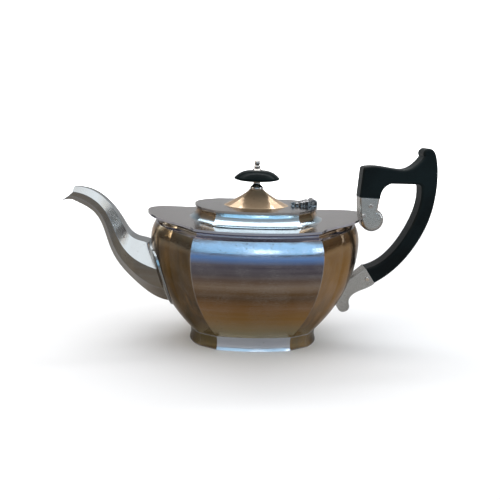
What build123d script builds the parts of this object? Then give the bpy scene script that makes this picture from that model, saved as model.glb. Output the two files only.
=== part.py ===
from build123d import *
import math
import os

# Panelled silver teapot.  Millimetres, +Z up, origin at the centre of the foot's underside.
# The spout points to -X and the handle to +X.  The plan of every level is a long octagon with
# bowed front, back and end panels, and the upper levels sweep up towards the two ends.

# Upward sweep of the shoulder, rim and lid towards the ends
SWEEP_RISE = 5.9
SWEEP_POWER = 2.9
SWEEP_REACH = 82.5

# Levels on the centre plane
FOOT_HEIGHT = 10.7
BELLY_LEVEL = 77.0
SHOULDER_LEVEL = 90.2
RIM_LEVEL = 95.0
RIM_THICKNESS = 1.6
PLATFORM_HEIGHT = 8.6

# Sheet metal and fits
WALL = 1.5
FOOT_WALL = 1.7
BASE_THICKNESS = 1.2
LID_THICKNESS = 1.4
LID_GAP = 0.3
LID_OVERHANG = 0.8
LEDGE_WIDTH = 4.5
LEDGE_THICKNESS = 1.2
BEZEL_CLEARANCE = 0.8
BEZEL_WALL = 1.2
BEZEL_DEPTH = 3.8

# Half plans: front corner x and y, bow of the front, end corner x and y, end tip
FOOT_PLAN = (28.0, 30.3, 2.8, 41.3, 23.0, 50.4)
BELLY_PLAN = (45.6, 57.5, 4.0, 62.2, 37.6, 80.4)
SHOULDER_PLAN = (43.5, 55.3, 3.8, 59.7, 36.5, 76.4)
RIM_PLAN = (43.6, 54.8, 6.2, 61.6, 36.4, 82.3)
PLATFORM_PLAN = (29.5, 33.2, 3.6, 39.8, 22.5, 46.0)
RIM_CORNER_HOLLOW = 2.4
RIM_OPENING_MARGIN = 2.5
COVE_DEPTH = 3.4
PLATFORM_FLARE = 7.2
FOOT_WAIST = 0.7
FOOT_LIP = 0.4

# Lid dome: plan half sizes, top radius, height and facets at each end
DOME_HALF_LENGTH = 25.5
DOME_HALF_WIDTH = 20.5
DOME_TOP_RADIUS = 5.6
DOME_HEIGHT = 12.2
DOME_FACETS = 5
DOME_FACET_SPAN = 58.0
DOME_WALL = 1.2

# Finial
STUD_RADIUS = 1.5
STUD_CLEARANCE = 0.1
STUD_ENGAGEMENT = 2.2
CAP_RADIUS = 17.3
CAP_THICKNESS = 7.4
STEM_HEIGHT = 7.0
STEM_BULB_RADIUS = 4.9
STEM_NECK_RADIUS = 2.6
BUD_HEIGHT = 7.9
BUD_RADIUS = 2.3
NUT_ACROSS_FLATS = 5.4
NUT_HEIGHT = 2.6
WASHER_RADIUS = 3.1
WASHER_THICKNESS = 0.8

# Hinge of the lid
HINGE_X = 43.0
HINGE_RADIUS = 2.5
HINGE_PIN_RADIUS = 0.8
HINGE_RUNNING_GAP = 0.05
BARREL_GAP = 0.4
KNUCKLE_COUNT = 5
KNUCKLE_WIDTH = 2.5
KNUCKLE_GAP = 0.15
LEAF_RIBS = 5
LEAF_LENGTH = 13.5

# Spout
SPOUT_WALL = 1.3
# Stations from inside the body to the mouth: upper x and z, lower x and z, half width
SPOUT_STATIONS = [
    (-62.0, 74.0, -48.0, 20.0, 23.5),
    (-81.5, 76.5, -66.0, 30.6, 22.0),
    (-91.5, 79.8, -89.5, 43.0, 19.0),
    (-98.8, 86.2, -105.5, 60.0, 15.0),
    (-103.8, 95.4, -114.0, 78.5, 11.6),
    (-110.2, 104.8, -120.0, 94.5, 9.4),
    (-119.6, 113.4, -129.5, 103.4, 8.0),
    (-130.0, 117.6, -136.5, 106.8, 7.2),
    (-144.5, 117.6, -147.2, 107.3, 6.6),
]
# Section as shares of the half width and half height, one side from top to bottom
SPOUT_SECTION = [(0.42, 1.0), (1.0, 0.32), (0.92, -0.38), (0.30, -1.0)]
# Upper edge of the mouth, from above the spout to below the lip
MOUTH_CUT = [(-137.6, 130.0), (-137.8, 114.2), (-141.5, 111.2), (-150.0, 106.0)]
SPOUT_FLANGE_THICKNESS = 1.3
STRAINER_HOLE_RADIUS = 1.9
STRAINER_PITCH = 6.2
STRAINER_CENTRE_Z = 55.0
STRAINER_ROWS = {-3: 3, -2: 5, -1: 4, 0: 5, 1: 4, 2: 5, 3: 3}

# Handle: the grip's two ends stand across the tops of the sockets
GRIP_TOP_OUTER = (78.4, 115.6)
GRIP_TOP_INNER = (94.4, 115.0)
SOCKET_TOP_OUTER = (78.6, 115.4)
SOCKET_TOP_INNER = (94.0, 114.8)
GRIP_LOW_OUTER = (95.0, 48.0)
GRIP_LOW_INNER = (87.2, 59.6)
SCROLL_CENTRE = (127.6, 150.2)
SCROLL_RADIUS = 3.3
GRIP_HALF_THICKNESS = 8.0
GRIP_EDGE_RADIUS = 2.2
SOCKET_HALF_THICKNESS = 7.6
SOCKET_LOW_HALF_THICKNESS = 4.6
SOCKET_CORNER_RADIUS = 1.5
BOSS_EDGE_RADIUS = 3.2
TENON_INSET = 1.8
TENON_LENGTH = 8.0
TENON_CLEARANCE = 0.05
RIVET_RADIUS = 1.1
RIVET_HEAD_RADIUS = 1.8
RIVET_HEAD_HEIGHT = 0.7
BOSS_CENTRE = (89.6, 98.0)
BOSS_RADIUS = 8.8
VOLUTE_CENTRE = (71.9, 27.6)
VOLUTE_RADIUS = 4.8
UPPER_RIVET = (87.3, 109.2)
LOWER_RIVET = (88.7, 51.4)
BEAD_CENTRE = (82.2, 101.8)
BEAD_RADIUS = 1.5
BEAD_HEIGHT = 1.1

# Reach of the cutting shapes, where plan prisms start, and sections in each loft
FAR = 130.0
LOW = 60.0
BODY_SECTIONS = 10
FOOT_SECTIONS = 5
SWEPT_SECTIONS = 14
DOME_SECTIONS = 6


def sweep_up(x):
    """Rise of the shoulder, rim and lid at a distance x from the middle."""
    return SWEEP_RISE * (abs(x) / SWEEP_REACH) ** SWEEP_POWER


# Levels and places that follow from the sizes above
LID_LEVEL = RIM_LEVEL + RIM_THICKNESS + PLATFORM_HEIGHT
LID_TOP = LID_LEVEL + LID_GAP + LID_THICKNESS
DOME_TOP = LID_TOP + DOME_HEIGHT
CAP_LEVEL = DOME_TOP + STEM_HEIGHT
CAP_TOP = CAP_LEVEL + CAP_THICKNESS
STUD_HOLE_RADIUS = STUD_RADIUS + STUD_CLEARANCE
PIN_HOLE_RADIUS = HINGE_PIN_RADIUS + HINGE_RUNNING_GAP
SEAM_X = HINGE_X - 1.2
HINGE_SEAT = LID_TOP + sweep_up(HINGE_X)
HINGE_Z = HINGE_SEAT + HINGE_RADIUS
HINGE_PITCH = KNUCKLE_WIDTH + KNUCKLE_GAP
HINGE_HALF_WIDTH = (KNUCKLE_COUNT * HINGE_PITCH - KNUCKLE_GAP) / 2


def grown(plan, amount):
    """The same plan with every side moved outwards by amount."""
    front_x, front_y, bow, end_x, end_y, tip = plan
    return (
        front_x + 0.5 * amount,
        front_y + amount,
        bow,
        end_x + 0.85 * amount,
        end_y + 0.55 * amount,
        tip + amount,
    )


def octagon(plan, level, lift=1.0, hollow=0.0):
    """Wire of a plan at a level, lifted towards the ends, with optional hollow corners."""
    front_x, front_y, bow, end_x, end_y, tip = plan

    def point(x, y):
        return Vector(x, y, level + lift * sweep_up(x))

    def corner(sx, sy):
        start, end = point(sx * front_x, sy * front_y), point(sx * end_x, sy * end_y)
        if hollow == 0:
            return Edge.make_line(start, end)
        middle = (start + end) * 0.5
        inward = Vector(-middle.X, -middle.Y, 0).normalized()
        return Edge.make_three_point_arc(start, middle + inward * hollow, end)

    def bowed(side):
        reach = side * (front_y + bow)
        return Edge.make_three_point_arc(
            point(-front_x, side * front_y), point(0, reach), point(front_x, side * front_y)
        )

    def end(side):
        return Edge.make_three_point_arc(
            point(side * end_x, -end_y), point(side * tip, 0), point(side * end_x, end_y)
        )

    return Wire([
        bowed(-1), corner(1, -1), end(1), corner(1, 1),
        bowed(1), corner(-1, 1), end(-1), corner(-1, -1),
    ])


def plan_prism(plan, low, high, hollow=0.0):
    """Straight prism of a plan between two levels."""
    face = Face(octagon(plan, low, 0.0, hollow))
    return Solid.extrude(face, Vector(0, 0, high - low))


def swept_slab(low, high):
    """Everything between two levels that both follow the upward sweep."""
    stations = [FAR * k / 8 for k in range(-8, 9)]
    bottom = Edge.make_spline([Vector(x, -FAR, low + sweep_up(x)) for x in stations])
    top = Edge.make_spline([Vector(x, -FAR, high + sweep_up(x)) for x in stations])
    left = Edge.make_line(bottom @ 0, top @ 0)
    right = Edge.make_line(bottom @ 1, top @ 1)
    return Solid.extrude(Face(Wire([bottom, right, top, left])), Vector(0, 2 * FAR, 0))


def belly_plan(level):
    """Body plan at a level: a parabola from the foot to the belly, then the shoulder turns in."""
    def size(foot, belly, shoulder):
        if level <= BELLY_LEVEL:
            share = (level - FOOT_HEIGHT) / (BELLY_LEVEL - FOOT_HEIGHT)
            return foot + (belly - foot) * (1 - (1 - share) ** 2)
        share = (level - BELLY_LEVEL) / (SHOULDER_LEVEL - BELLY_LEVEL)
        return belly - (belly - shoulder) * share ** 2

    return tuple(size(*sizes) for sizes in zip(FOOT_PLAN, BELLY_PLAN, SHOULDER_PLAN))


def body_form(amount=0.0, floor=FOOT_HEIGHT):
    """Solid panelled body, grown by amount, up to well above the shoulder."""
    rise = (SHOULDER_LEVEL + 1.5 - floor) / BODY_SECTIONS
    wires = []
    for k in range(BODY_SECTIONS + 1):
        level = floor + rise * k
        share = max(0.0, (level - FOOT_HEIGHT) / (SHOULDER_LEVEL - FOOT_HEIGHT))
        wires.append(octagon(grown(belly_plan(level), amount), level, share ** 2))
    wires.append(octagon(grown(SHOULDER_PLAN, amount - 3.0), SHOULDER_LEVEL + 12.0, 0.0))
    return Solid.make_loft(wires)


def swept_form(plan, base, height, offset):
    """Solid whose sides follow offset(share of height) above a base that sweeps up to the ends."""
    front_x, front_y, bow, end_x, end_y, tip = plan
    low, high = base - 1.0, base + height + sweep_up(tip) + 1.0
    wires = []
    for k in range(SWEPT_SECTIONS + 1):
        level = low + (high - low) * k / SWEPT_SECTIONS

        def amount(x):
            share = (level - base - sweep_up(x)) / height
            return offset(min(1.0, max(0.0, share)))

        front, middle, end, point = amount(front_x), amount(0.0), amount(end_x), amount(tip)
        section = (
            front_x + 0.5 * front, front_y + front, bow + middle - front,
            end_x + 0.85 * end, end_y + 0.55 * end, tip + point,
        )
        wires.append(octagon(section, level, 0.0))
    return Solid.make_loft(wires)


def cove_form(amount=0.0):
    """Solid of the hollow neck between the shoulder and the rim."""
    def offset(share):
        return amount - COVE_DEPTH * math.sin(math.pi * (0.15 + 0.7 * share))

    return swept_form(SHOULDER_PLAN, SHOULDER_LEVEL, RIM_LEVEL - SHOULDER_LEVEL, offset)


def platform_form(amount=0.0):
    """Solid of the raised, hollow-sided platform under the lid."""
    def offset(share):
        return amount + PLATFORM_FLARE * (1 - math.sqrt(1 - (1 - share) ** 2))

    return swept_form(PLATFORM_PLAN, RIM_LEVEL + RIM_THICKNESS, PLATFORM_HEIGHT, offset)


def dome_wire(scale, level, amount=0.0):
    """Plan of the lid's dome: bowed front and back, narrow facets round each end."""
    half_length = DOME_HALF_LENGTH * scale + amount
    half_width = DOME_HALF_WIDTH * scale + amount
    angles = [DOME_FACET_SPAN * (2 * k / DOME_FACETS - 1) for k in range(DOME_FACETS + 1)]

    def rim_point(angle, side):
        a = math.radians(angle)
        return Vector(side * half_length * math.cos(a), side * half_width * math.sin(a), level)

    right = [rim_point(angle, 1) for angle in angles]
    left = [rim_point(angle, -1) for angle in angles]
    edges = [Edge.make_line(right[k], right[k + 1]) for k in range(DOME_FACETS)]
    edges.append(Edge.make_three_point_arc(right[-1], Vector(0, half_width, level), left[0]))
    edges += [Edge.make_line(left[k], left[k + 1]) for k in range(DOME_FACETS)]
    edges.append(Edge.make_three_point_arc(left[-1], Vector(0, -half_width, level), right[0]))
    return Wire(edges)


def dome_form(amount=0.0, top=DOME_TOP):
    """Solid panelled dome that flares out to its foot."""
    wires = []
    foot_share = DOME_TOP_RADIUS / DOME_HALF_LENGTH
    for k in range(-1, DOME_SECTIONS + 1):
        share = k / DOME_SECTIONS
        scale = foot_share + (1 - foot_share) * (1 - share) ** 1.3
        wires.append(dome_wire(scale, LID_TOP + (top - LID_TOP) * share, amount))
    return Solid.make_loft(wires)


def rod(radius, start, end):
    """Round rod between two points."""
    start, end = Vector(*start), Vector(*end)
    plane = Plane(origin=start, z_dir=end - start)
    return Solid.make_cylinder(radius, (end - start).length, plane)


def cross_rod(radius, x, z, half_width):
    """Round rod across the teapot."""
    return rod(radius, (x, -half_width, z), (x, half_width, z))


def box(x0, x1, y0, y1, z0, z1):
    """Box between two corners."""
    corner = Plane(origin=(x0, y0, z0))
    return Solid.make_box(x1 - x0, y1 - y0, z1 - z0, corner)


def side_prism(outline_edges, half_width):
    """Prism across the teapot from edges drawn in the X-Z plane."""
    face = Face(Wire(outline_edges))
    prism = Solid.extrude(face, Vector(0, 2 * half_width, 0))
    return prism.moved(Location((0, -half_width, 0)))


def side_point(x, z):
    return Vector(x, 0, z)


def side_line(*points):
    """Straight edges through points in the X-Z plane."""
    return [Edge.make_line(side_point(*a), side_point(*b)) for a, b in zip(points, points[1:])]


def side_curve(*points, tangents=None):
    """Smooth edge through points in the X-Z plane."""
    directions = [side_point(*t) for t in tangents] if tangents else None
    return Edge.make_spline([side_point(*p) for p in points], tangents=directions)


def make_body_shell():
    """Panelled body wall, open above and below, with the strainer holes behind the spout."""
    shell = body_form() - body_form(-WALL, FOOT_HEIGHT - 2.0)
    shell = shell & swept_slab(-FAR, SHOULDER_LEVEL)
    row_pitch = STRAINER_PITCH * math.cos(math.radians(30))
    holes = []
    for row, count in STRAINER_ROWS.items():
        z = STRAINER_CENTRE_Z + row_pitch * row
        for column in range(count):
            y = STRAINER_PITCH * (column - (count - 1) / 2)
            holes.append(rod(STRAINER_HOLE_RADIUS, (-FAR, y, z), (-FOOT_PLAN[0], y, z)))
    return shell - holes


def make_base_plate():
    """Flat plate that closes the body at the top of the foot."""
    return body_form(-WALL, FOOT_HEIGHT - 2.0) & box(
        -FAR, FAR, -FAR, FAR, FOOT_HEIGHT, FOOT_HEIGHT + BASE_THICKNESS
    )


def make_foot_ring():
    """Skirt under the body with a slight waist and a small lip at the bottom."""
    def form(amount, low, high):
        wires = []
        for k in range(FOOT_SECTIONS + 1):
            share = k / FOOT_SECTIONS
            curve = FOOT_LIP * (1 - share) ** 3 - FOOT_WAIST * math.sin(math.pi * share)
            wires.append(octagon(grown(FOOT_PLAN, amount + curve), low + (high - low) * share, 0.0))
        return Solid.make_loft(wires)

    return form(0.0, 0.0, FOOT_HEIGHT) - form(-FOOT_WALL, 0.0, FOOT_HEIGHT)


def make_neck_cove():
    """Hollow neck ring between the shoulder and the rim."""
    return (cove_form() - cove_form(-WALL)) & swept_slab(SHOULDER_LEVEL, RIM_LEVEL)


def make_rim_flange():
    """Wide flat rim with hollow corners that sweeps up to both ends."""
    plate = plan_prism(RIM_PLAN, LOW, FAR, RIM_CORNER_HOLLOW)
    plate = plate & swept_slab(RIM_LEVEL, RIM_LEVEL + RIM_THICKNESS)
    return plate - plan_prism(grown(PLATFORM_PLAN, RIM_OPENING_MARGIN), LOW, FAR)


def make_lid_surround():
    """Raised platform on the rim with a ledge that the lid rests on."""
    wall = platform_form() - platform_form(-WALL)
    ledge = plan_prism(grown(PLATFORM_PLAN, -0.5 * WALL), LOW, FAR)
    ledge = ledge - plan_prism(grown(PLATFORM_PLAN, -LEDGE_WIDTH), LOW, FAR)
    ledge = ledge & swept_slab(LID_LEVEL - LEDGE_THICKNESS, LID_LEVEL)
    return (wall & swept_slab(RIM_LEVEL + RIM_THICKNESS, LID_LEVEL)) + ledge


def lid_sheet(low):
    """Plate over the whole platform from a level to the lid's top, before the hinge seam."""
    return plan_prism(grown(PLATFORM_PLAN, LID_OVERHANG), LOW, FAR) & swept_slab(low, LID_TOP)


def make_lid_plate():
    """Flat part of the lid up to the hinge seam, open under the dome."""
    plate = lid_sheet(LID_LEVEL + LID_GAP) & box(-FAR, SEAM_X - LID_GAP, -FAR, FAR, 0, FAR)
    opening = Solid.extrude(Face(dome_wire(1.0, LOW, -2 * DOME_WALL)), Vector(0, 0, FAR))
    return plate - opening


def make_hinge_bed():
    """Narrow fixed end of the plateau that carries the hinge."""
    return lid_sheet(LID_LEVEL) & box(SEAM_X, FAR, -FAR, FAR, 0, FAR)


def make_lid_bezel():
    """Ring under the lid that drops into the opening."""
    outer = grown(PLATFORM_PLAN, -LEDGE_WIDTH - BEZEL_CLEARANCE)
    ring = plan_prism(outer, LOW, FAR) - plan_prism(grown(outer, -BEZEL_WALL), LOW, FAR)
    top = LID_LEVEL + LID_GAP
    return ring & swept_slab(top - BEZEL_DEPTH, top)


def make_lid_dome():
    """Panelled hollow dome on the lid, with a hole for the finial's stud."""
    solid = dome_form() & swept_slab(LID_TOP, FAR)
    solid = solid - dome_form(-DOME_WALL, DOME_TOP - DOME_WALL)
    return solid - rod(STUD_HOLE_RADIUS, (0, 0, LID_TOP), (0, 0, FAR))


def make_finial_stem():
    """Turned silver stem between the dome and the cap."""
    hole, neck, bulb = STUD_HOLE_RADIUS, STEM_NECK_RADIUS, STEM_BULB_RADIUS
    low, high = DOME_TOP, CAP_LEVEL
    profile = [
        Edge.make_line(side_point(hole, high), side_point(hole, low)),
        Edge.make_line(side_point(hole, low), side_point(DOME_TOP_RADIUS - 0.8, low)),
        side_curve((DOME_TOP_RADIUS - 0.8, low), (bulb, low + 1.6), (neck + 0.9, low + 3.0)),
        side_curve((neck + 0.9, low + 3.0), (neck, low + 4.6), (neck + 1.6, high)),
        Edge.make_line(side_point(neck + 1.6, high), side_point(hole, high)),
    ]
    return revolve(Face(Wire(profile)), Axis.Z)


def make_finial_cap():
    """Mushroom-shaped cap with a domed top and a rounded edge."""
    hole = STUD_HOLE_RADIUS
    low, high = CAP_LEVEL, CAP_TOP
    edge, edge_low, edge_high = CAP_RADIUS - 0.6, low + 0.5, low + 2.4
    seat, crown = STEM_NECK_RADIUS + 2.4, 4.2
    profile = [
        Edge.make_line(side_point(hole, high), side_point(hole, low)),
        Edge.make_line(side_point(hole, low), side_point(seat, low)),
        side_curve((seat, low), (0.72 * CAP_RADIUS, low - 0.5), (edge, edge_low)),
        side_curve((edge, edge_low), (CAP_RADIUS, low + 1.4), (edge, edge_high)),
        side_curve((edge, edge_high), (0.7 * CAP_RADIUS, high - 1.6), (crown, high)),
        Edge.make_line(side_point(crown, high), side_point(hole, high)),
    ]
    return revolve(Face(Wire(profile)), Axis.Z)


def make_finial_bud():
    """Silver bud screwed on the stud above the cap."""
    low, top = CAP_TOP, CAP_TOP + BUD_HEIGHT
    ball = top - BUD_RADIUS
    neck_x = BUD_RADIUS * math.cos(math.radians(50))
    neck_z = ball - BUD_RADIUS * math.sin(math.radians(50))
    profile = [
        Edge.make_line(side_point(0, top), side_point(0, low)),
        Edge.make_line(side_point(0, low), side_point(3.8, low)),
        side_curve((3.8, low), (3.3, low + 0.8), (1.9, low + 1.6)),
        side_curve((1.9, low + 1.6), (2.4, low + 2.8), (neck_x, neck_z)),
        Edge.make_three_point_arc(
            side_point(neck_x, neck_z), side_point(BUD_RADIUS, ball), side_point(0, top)
        ),
    ]
    bud = revolve(Face(Wire(profile)), Axis.Z)
    return bud - rod(STUD_RADIUS, (0, 0, low - 1.0), (0, 0, low + STUD_ENGAGEMENT))


def make_finial_stud():
    """Threaded rod that ties the finial to the lid."""
    low = DOME_TOP - DOME_WALL - WASHER_THICKNESS - NUT_HEIGHT - 1.0
    return rod(STUD_RADIUS, (0, 0, low), (0, 0, CAP_TOP + STUD_ENGAGEMENT))


def make_finial_washer():
    """Washer under the top of the dome."""
    high = DOME_TOP - DOME_WALL
    washer = rod(WASHER_RADIUS, (0, 0, high - WASHER_THICKNESS), (0, 0, high))
    return washer - rod(STUD_RADIUS, (0, 0, high - 3), (0, 0, high + 3))


def make_finial_nut():
    """Hexagon nut that pulls the finial down."""
    high = DOME_TOP - DOME_WALL - WASHER_THICKNESS
    hexagon = RegularPolygon(NUT_ACROSS_FLATS / 2, 6, major_radius=False)
    nut = extrude(Plane(origin=(0, 0, high - NUT_HEIGHT)) * hexagon, amount=NUT_HEIGHT)
    return nut - rod(STUD_RADIUS, (0, 0, high - 6), (0, 0, high + 3))


def knuckles(first, reach):
    """Every second knuckle with its web towards x = HINGE_X + reach."""
    pieces = []
    for index in range(first, KNUCKLE_COUNT, 2):
        y0 = -HINGE_HALF_WIDTH + index * HINGE_PITCH
        y1 = y0 + KNUCKLE_WIDTH
        barrel = rod(HINGE_RADIUS, (HINGE_X, y0, HINGE_Z), (HINGE_X, y1, HINGE_Z))
        x0, x1 = sorted((HINGE_X, HINGE_X + reach))
        web = box(x0, x1, y0, y1, HINGE_SEAT - 2.0, HINGE_Z + 0.4 * HINGE_RADIUS)
        pieces.append(barrel + web)
    return pieces


def above_lid(shape):
    """The part of a shape that lies above the lid's upper surface."""
    return shape & swept_slab(LID_TOP, FAR)


def make_hinge_base():
    """Fixed half of the hinge on the hinge bed."""
    base = box(
        HINGE_X + HINGE_RADIUS + BARREL_GAP, HINGE_X + 2 * HINGE_RADIUS, -HINGE_HALF_WIDTH,
        HINGE_HALF_WIDTH, HINGE_SEAT - 2.0, HINGE_Z + 0.2 * HINGE_RADIUS,
    )
    for piece in knuckles(0, HINGE_RADIUS + 1.0):
        base = base + piece
    sheet = plan_prism(grown(PLATFORM_PLAN, LID_OVERHANG), LOW, FAR)
    base = above_lid(base) & sheet
    return base - cross_rod(PIN_HOLE_RADIUS, HINGE_X, HINGE_Z, 2 * HINGE_HALF_WIDTH)


def make_hinge_leaf():
    """Moving half of the hinge: a ribbed cast leaf on the lid with a small thumb scroll."""
    right = HINGE_X - HINGE_RADIUS - BARREL_GAP
    left = HINGE_X - LEAF_LENGTH
    leaf = None
    pitch = (right - left - 1.2) / LEAF_RIBS
    for index in range(LEAF_RIBS):
        share = (index + 1) / LEAF_RIBS
        x = left + pitch * (index + 1)
        radius = 1.7 + 1.0 * share
        half_width = 2.6 + (HINGE_HALF_WIDTH - 3.0) * math.sqrt(share)
        height = LID_TOP + sweep_up(x) + 0.5 + 1.1 * share
        rib = cross_rod(radius, x, height, half_width)
        rib = rib.fillet(0.6 * radius, rib.edges().filter_by(GeomType.CIRCLE))
        leaf = rib if leaf is None else leaf + rib
    scroll_x = left - 1.2
    leaf = leaf + cross_rod(1.5, scroll_x, LID_TOP + sweep_up(scroll_x) + 1.4, 2.2)
    leaf = leaf + box(scroll_x, left + pitch, -2.0, 2.0, LID_TOP - 1.0, LID_TOP + 1.2)
    leaf = leaf & box(0, right, -FAR, FAR, 0, FAR)
    for piece in knuckles(1, -HINGE_RADIUS - 1.0):
        leaf = leaf + piece
    leaf = above_lid(leaf)
    leaf = leaf - box(SEAM_X - LID_GAP, FAR, -FAR, FAR, 0, HINGE_Z - 0.8 * HINGE_RADIUS)
    return leaf - cross_rod(PIN_HOLE_RADIUS, HINGE_X, HINGE_Z, 2 * HINGE_HALF_WIDTH)


def make_hinge_pin():
    """Steel pin through the knuckles."""
    return cross_rod(HINGE_PIN_RADIUS, HINGE_X, HINGE_Z, HINGE_HALF_WIDTH)


def spout_form(amount=0.0):
    """Solid swan-neck spout with an eight-sided section."""
    wires = []
    for upper_x, upper_z, lower_x, lower_z, half_width in SPOUT_STATIONS:
        upper, lower = side_point(upper_x, upper_z), side_point(lower_x, lower_z)
        centre = (upper + lower) * 0.5
        up = (upper - lower).normalized()
        half_height = (upper - lower).length / 2 + amount
        width = half_width + amount
        half = [(width * y, half_height * n) for y, n in SPOUT_SECTION]
        loop = half + [(-y, n) for y, n in reversed(half)]
        corners = [centre + Vector(0, y, 0) + up * n for y, n in loop]
        wires.append(Wire.make_polygon(corners, close=True))
    return Solid.make_loft(wires)


def make_spout(body):
    """Hollow spout with its mouth cut back above a longer lower lip."""
    beyond = MOUTH_CUT[-1][0] - 10.0
    far_corners = [(beyond, MOUTH_CUT[-1][1]), (beyond, MOUTH_CUT[0][1]), MOUTH_CUT[0]]
    mouth = side_line(*MOUTH_CUT, *far_corners)
    shell = spout_form() - spout_form(-SPOUT_WALL) - side_prism(mouth, 30.0)
    return shell - body


def make_spout_flange(body, spout_outer):
    """Shield-shaped flange where the spout meets the end panel."""
    def edge(*points):
        return Edge.make_spline([Vector(-FAR, y, z) for y, z in points])

    outline = []
    for side in (-1, 1):
        outline += [
            edge((0, 78.5), (side * 10, 76.5), (side * 17.5, 74.0)),
            edge((side * 17.5, 74.0), (side * 22.5, 72.6), (side * 26.0, 67.5)),
            edge((side * 26.0, 67.5), (side * 27.0, 56.0), (side * 23.0, 41.0), (0, 26.5)),
        ]
    shield = Solid.extrude(Face(Wire(outline)), Vector(FAR - 30, 0, 0))
    return ((body_form(SPOUT_FLANGE_THICKNESS) & shield) - body) - spout_outer


def grip_outline():
    """Edges of the handle's grip in the X-Z plane."""
    scroll_x, scroll_z = SCROLL_CENTRE
    scroll_top = (scroll_x, scroll_z + SCROLL_RADIUS)
    return [
        *side_line(GRIP_TOP_INNER, GRIP_TOP_OUTER, (79.6, 136.2)),
        side_curve((79.6, 136.2), (80.3, 138.1), (82.3, 138.8)),
        side_curve(
            (82.3, 138.8), (93.0, 139.2), (104.0, 137.7), (113.0, 137.5), (120.0, 141.4),
            (124.9, 147.4),
        ),
        Edge.make_three_point_arc(
            side_point(124.9, 147.4), side_point(scroll_x - SCROLL_RADIUS, scroll_z + 0.6),
            side_point(*scroll_top),
        ),
        side_curve(
            scroll_top, (132.0, 151.8), (134.8, 146.0), (136.8, 134.0), (137.0, 120.0),
            (133.8, 100.0), (124.8, 79.0), (111.5, 61.0), GRIP_LOW_OUTER,
        ),
        *side_line(GRIP_LOW_OUTER, GRIP_LOW_INNER),
        side_curve(
            GRIP_LOW_INNER, (99.0, 65.2), (110.0, 76.5), (119.0, 92.0), (124.4, 107.0),
            (125.4, 122.5),
        ),
        side_curve((125.4, 122.5), (124.4, 125.4), (121.5, 126.3)),
        *side_line((121.5, 126.3), (102.0, 126.3)),
        side_curve((102.0, 126.3), (97.6, 123.6), GRIP_TOP_INNER),
    ]


def meets_socket(edge):
    """True for an edge at one of the grip's two ends."""
    middles = [
        ((GRIP_TOP_OUTER[0] + GRIP_TOP_INNER[0]) / 2, (GRIP_TOP_OUTER[1] + GRIP_TOP_INNER[1]) / 2),
        ((GRIP_LOW_OUTER[0] + GRIP_LOW_INNER[0]) / 2, (GRIP_LOW_OUTER[1] + GRIP_LOW_INNER[1]) / 2),
    ]
    centre = edge.center()
    return any(math.dist((centre.X, centre.Z), middle) < 0.5 for middle in middles)


def make_handle_grip():
    """Black grip with a flying thumb scroll and a tenon at each end."""
    grip = side_prism(grip_outline(), GRIP_HALF_THICKNESS)
    rounds = [e for e in grip.edges() if abs(e.tangent_at(0.5).Y) < 0.5]
    rounds = [e for e in rounds if abs(abs(e.center().Y) - GRIP_HALF_THICKNESS) < 0.1]
    rounds = [e for e in rounds if not meets_socket(e)]
    grip = grip.fillet(GRIP_EDGE_RADIUS, rounds)
    grip = grip + upper_tenon(0.0) + lower_tenon(0.0)
    for x, z in (UPPER_RIVET, LOWER_RIVET):
        grip = grip - cross_rod(RIVET_RADIUS, x, z, 2 * GRIP_HALF_THICKNESS)
    return grip


def upper_tenon(clearance):
    """Tenon at the top of the upper socket, or its pocket with a clearance."""
    inset = TENON_INSET - clearance
    half_thickness = SOCKET_HALF_THICKNESS - inset
    top = SOCKET_TOP_OUTER[1]
    return box(
        SOCKET_TOP_OUTER[0] + inset, SOCKET_TOP_INNER[0] - inset, -half_thickness, half_thickness,
        top - TENON_LENGTH - clearance, top + 0.6,
    )


def lower_tenon(clearance):
    """Tenon in the lower socket, or its pocket with a clearance."""
    inset = TENON_INSET - clearance
    outer, inner = side_point(*GRIP_LOW_OUTER), side_point(*GRIP_LOW_INNER)
    origin = (outer + inner) * 0.5
    across = outer - inner
    half = across.length / 2 - inset
    plane = Plane(origin=origin, x_dir=across, z_dir=Vector(across.Z, 0, -across.X))
    depth = TENON_LENGTH + clearance
    half_thickness = SOCKET_HALF_THICKNESS - inset
    block = Solid.make_box(2 * half, 2 * half_thickness, depth + 1.0)
    block = block.moved(Location((-half, -half_thickness, -1.0)))
    return block.moved(plane.location)


def make_upper_socket(rim):
    """Silver socket with a rounded boss, soldered to the rim's tip."""
    boss_x, boss_z = BOSS_CENTRE
    post = side_line(
        SOCKET_TOP_OUTER, (79.6, 104.0), (81.2, boss_z), (96.0, boss_z), (92.6, 104.0),
        SOCKET_TOP_INNER, SOCKET_TOP_OUTER,
    )
    socket = side_prism(post, SOCKET_HALF_THICKNESS)
    upright = [e for e in socket.edges() if abs(abs(e.center().Y) - SOCKET_HALF_THICKNESS) < 0.1]
    upright = [e for e in upright if abs(e.tangent_at(0.5).Z) > 0.6]
    socket = socket.fillet(SOCKET_CORNER_RADIUS, upright)
    boss = cross_rod(BOSS_RADIUS, boss_x, boss_z, SOCKET_HALF_THICKNESS)
    boss = boss.fillet(BOSS_EDGE_RADIUS, boss.edges().filter_by(GeomType.CIRCLE))
    socket = (socket + boss) - rim - upper_tenon(TENON_CLEARANCE)
    socket = socket - cross_rod(RIVET_RADIUS, *UPPER_RIVET, 2 * SOCKET_HALF_THICKNESS)
    return max(socket.solids(), key=lambda solid: solid.volume)


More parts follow.
